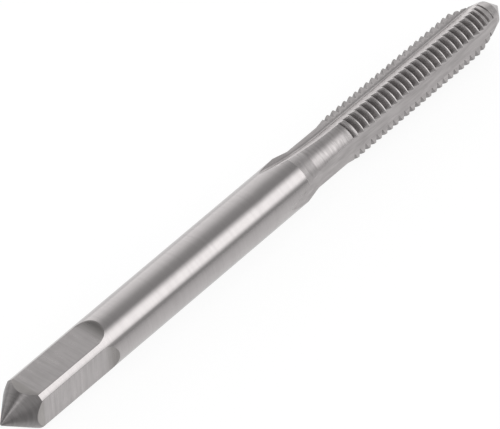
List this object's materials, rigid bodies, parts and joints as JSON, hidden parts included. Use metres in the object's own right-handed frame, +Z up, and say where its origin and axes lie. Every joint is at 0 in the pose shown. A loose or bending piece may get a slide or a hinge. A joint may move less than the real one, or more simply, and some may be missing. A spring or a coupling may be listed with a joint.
{
  "type": "thread tap",
  "caption": "Slim steel hand tap lying on its side: pointed square driving end, round shank, stepped-down neck, and a straight-fluted right-hand thread with a tapered lead and point.",
  "frame": {"origin": "on the surface the tap lies on, under the middle of its length", "axes": "+X along the centre line from the square end to the cutting point, +Z up, square to the upper driving flat"},
  "size_m": [0.0436, 0.0032, 0.0032],
  "materials": {
    "steel": "ground bright steel"
  },
  "bodies": {
    "root": {"tap": "steel"}
  },
  "joints": []
}
